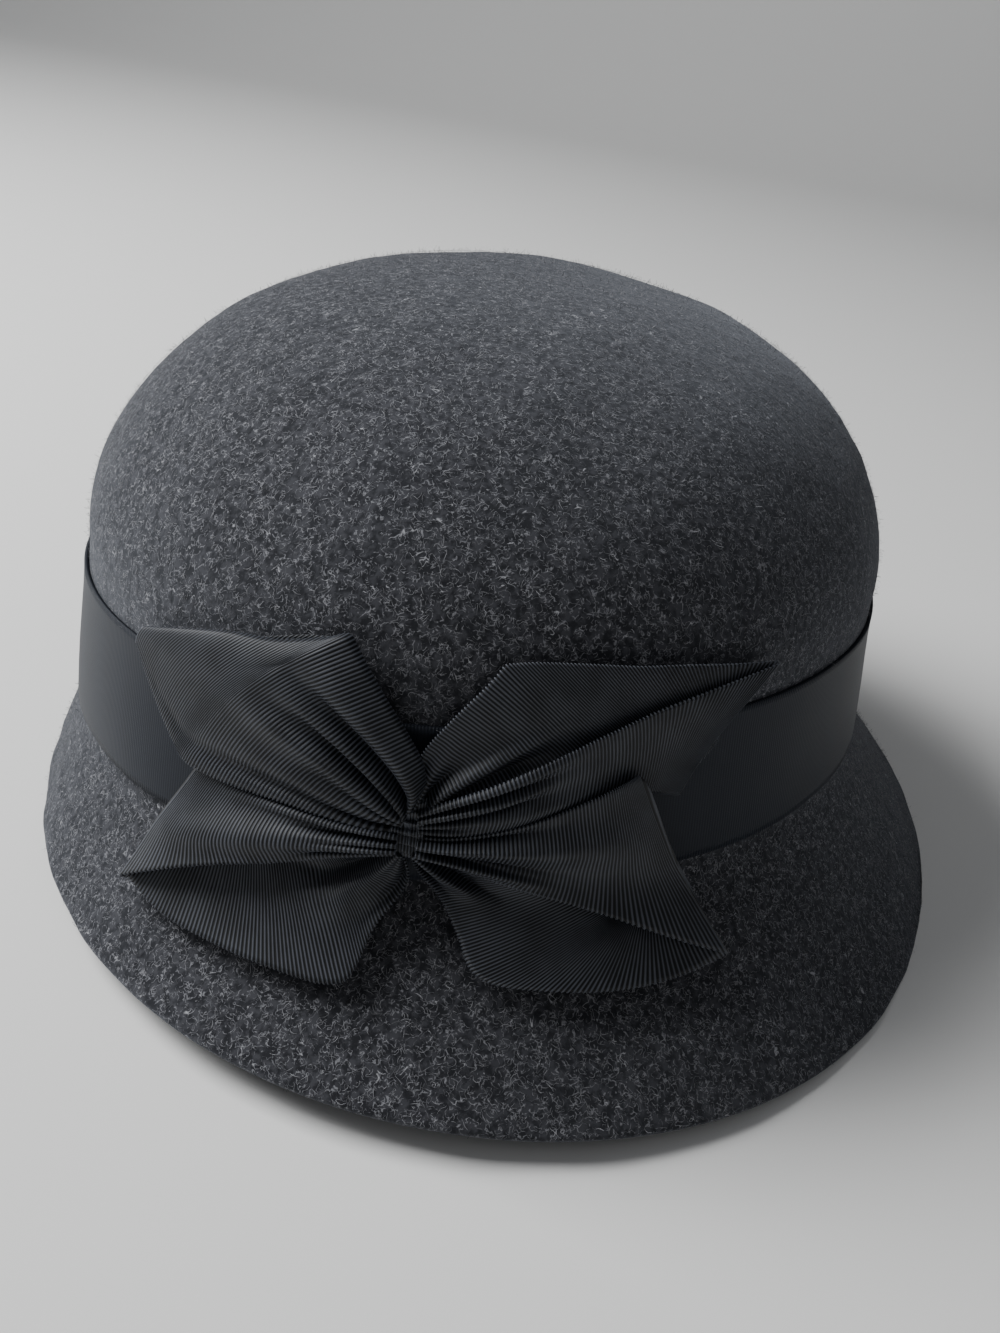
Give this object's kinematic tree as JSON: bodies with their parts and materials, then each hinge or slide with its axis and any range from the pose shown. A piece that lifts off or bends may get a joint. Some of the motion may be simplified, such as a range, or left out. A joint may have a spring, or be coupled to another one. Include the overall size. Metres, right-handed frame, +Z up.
{
  "type": "cloche hat",
  "caption": "Blocked wool felt cloche hat with a domed crown, a short sloping brim, a ribbon band and a gathered ribbon bow.",
  "frame": {"origin": "under the middle of the hat's box, on the surface the hat rests on", "axes": "+Z up through the crown; -Y to the front, where the bow is; +X to the side where the brim is widest"},
  "size_m": [0.2132, 0.2642, 0.1152],
  "materials": {
    "felt": "charcoal melange wool felt, matt and hairy",
    "band_ribbon": "black ribbed ribbon with a soft sheen",
    "bow_ribbon": "black grosgrain ribbon, ribbed across its width"
  },
  "bodies": {
    "root": {"felt_hood": "felt", "hat_band": "band_ribbon", "bow_upper_left": "bow_ribbon", "bow_lower_left": "bow_ribbon", "bow_upper_right": "bow_ribbon", "bow_lower_right": "bow_ribbon", "bow_gather": "bow_ribbon"}
  },
  "joints": []
}
